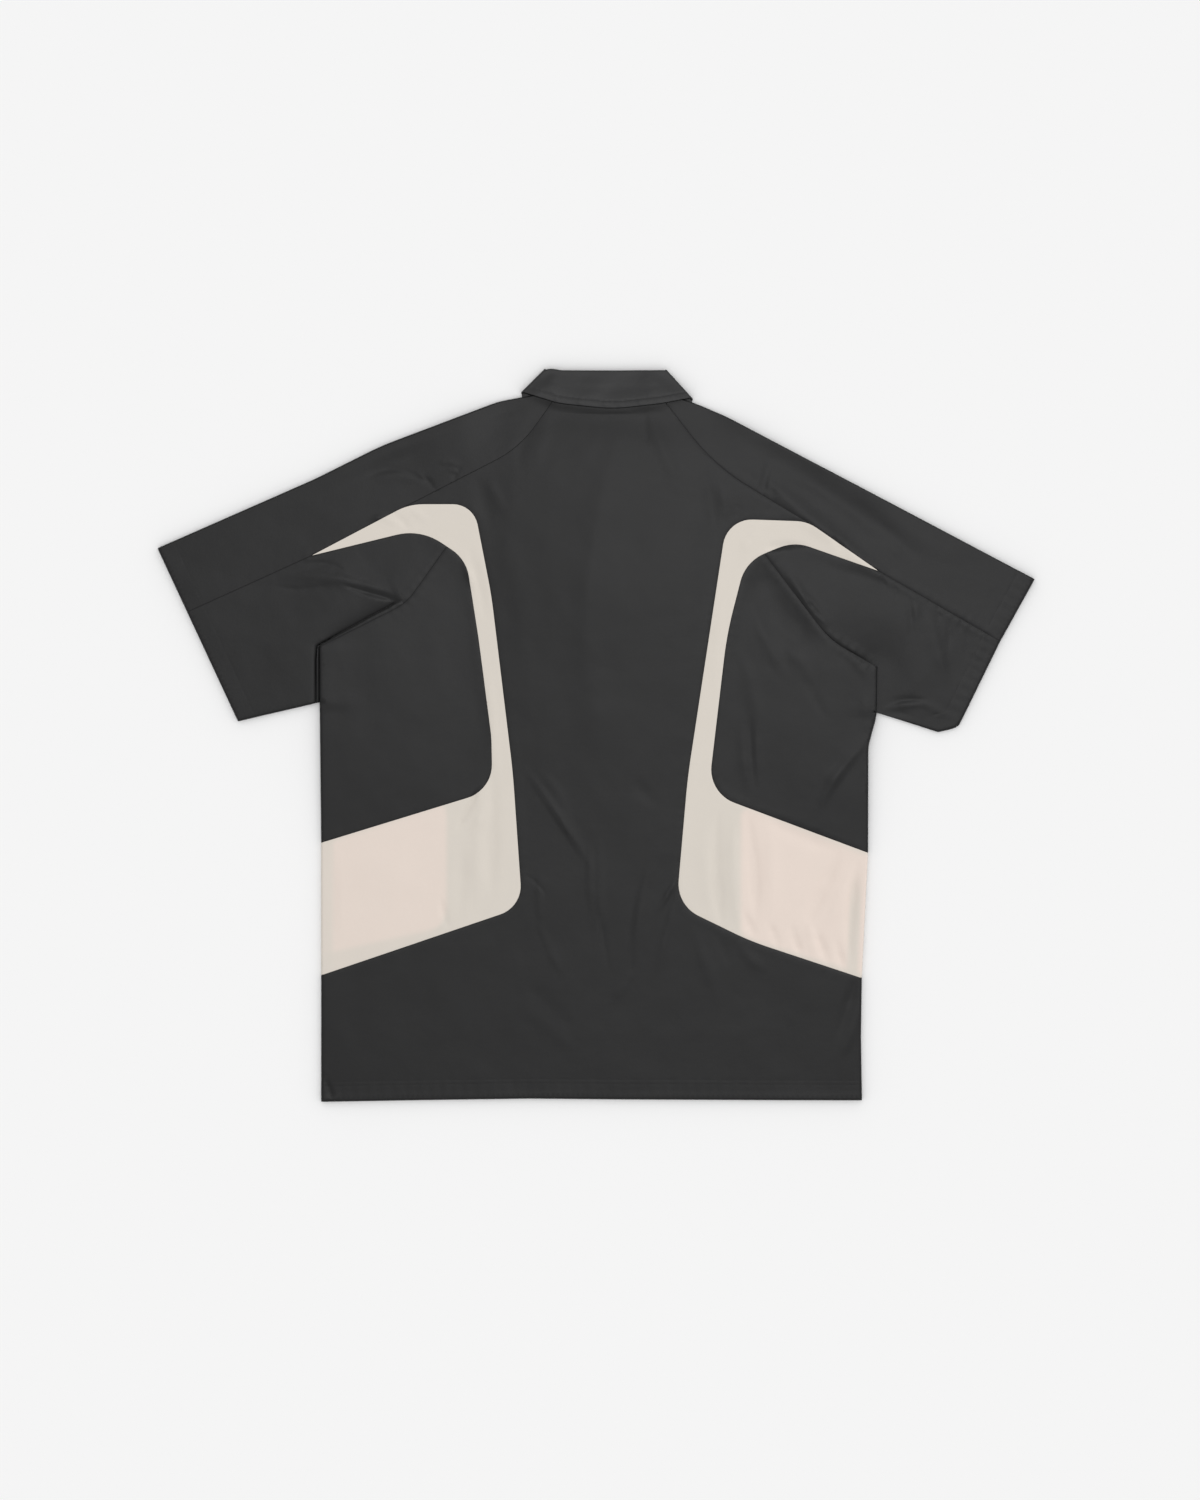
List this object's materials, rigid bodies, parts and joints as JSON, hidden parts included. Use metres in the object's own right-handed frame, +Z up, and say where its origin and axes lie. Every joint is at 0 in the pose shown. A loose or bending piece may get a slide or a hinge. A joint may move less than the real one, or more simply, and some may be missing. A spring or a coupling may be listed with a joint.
{
  "type": "polo shirt",
  "caption": "Boxy short-sleeved raglan polo shirt lying flat with its back up: dark fine cloth, curved cream contrast insets at the sides, turned-down collar, placket with buttons underneath.",
  "frame": {"origin": "centre of the object's box in X and Y, on the surface the shirt lies on", "axes": "+X across the shirt, from the sleeve on the left of the picture to the one on its right; +Y from hem to collar; +Z up, out of the back"},
  "size_m": [0.938, 0.7837, 0.0096],
  "materials": {
    "charcoal_cloth": "matt fine knit, charcoal",
    "collar_cloth": "matt fine knit, slightly lighter charcoal",
    "cream_cloth": "matt fine knit, warm cream",
    "button": "satin, charcoal"
  },
  "bodies": {
    "root": {"back_centre": "charcoal_cloth", "side_left": "charcoal_cloth", "side_right": "charcoal_cloth", "inset_left": "cream_cloth", "inset_right": "cream_cloth", "sleeve_upper_left": "charcoal_cloth", "sleeve_upper_right": "charcoal_cloth", "sleeve_under_left": "charcoal_cloth", "sleeve_under_right": "charcoal_cloth", "front": "charcoal_cloth", "front_band_left": "cream_cloth", "front_band_right": "cream_cloth", "collar_leaf": "collar_cloth", "collar_stand": "collar_cloth", "placket": "charcoal_cloth", "button_1": "button", "button_2": "button", "button_3": "button"}
  },
  "joints": []
}
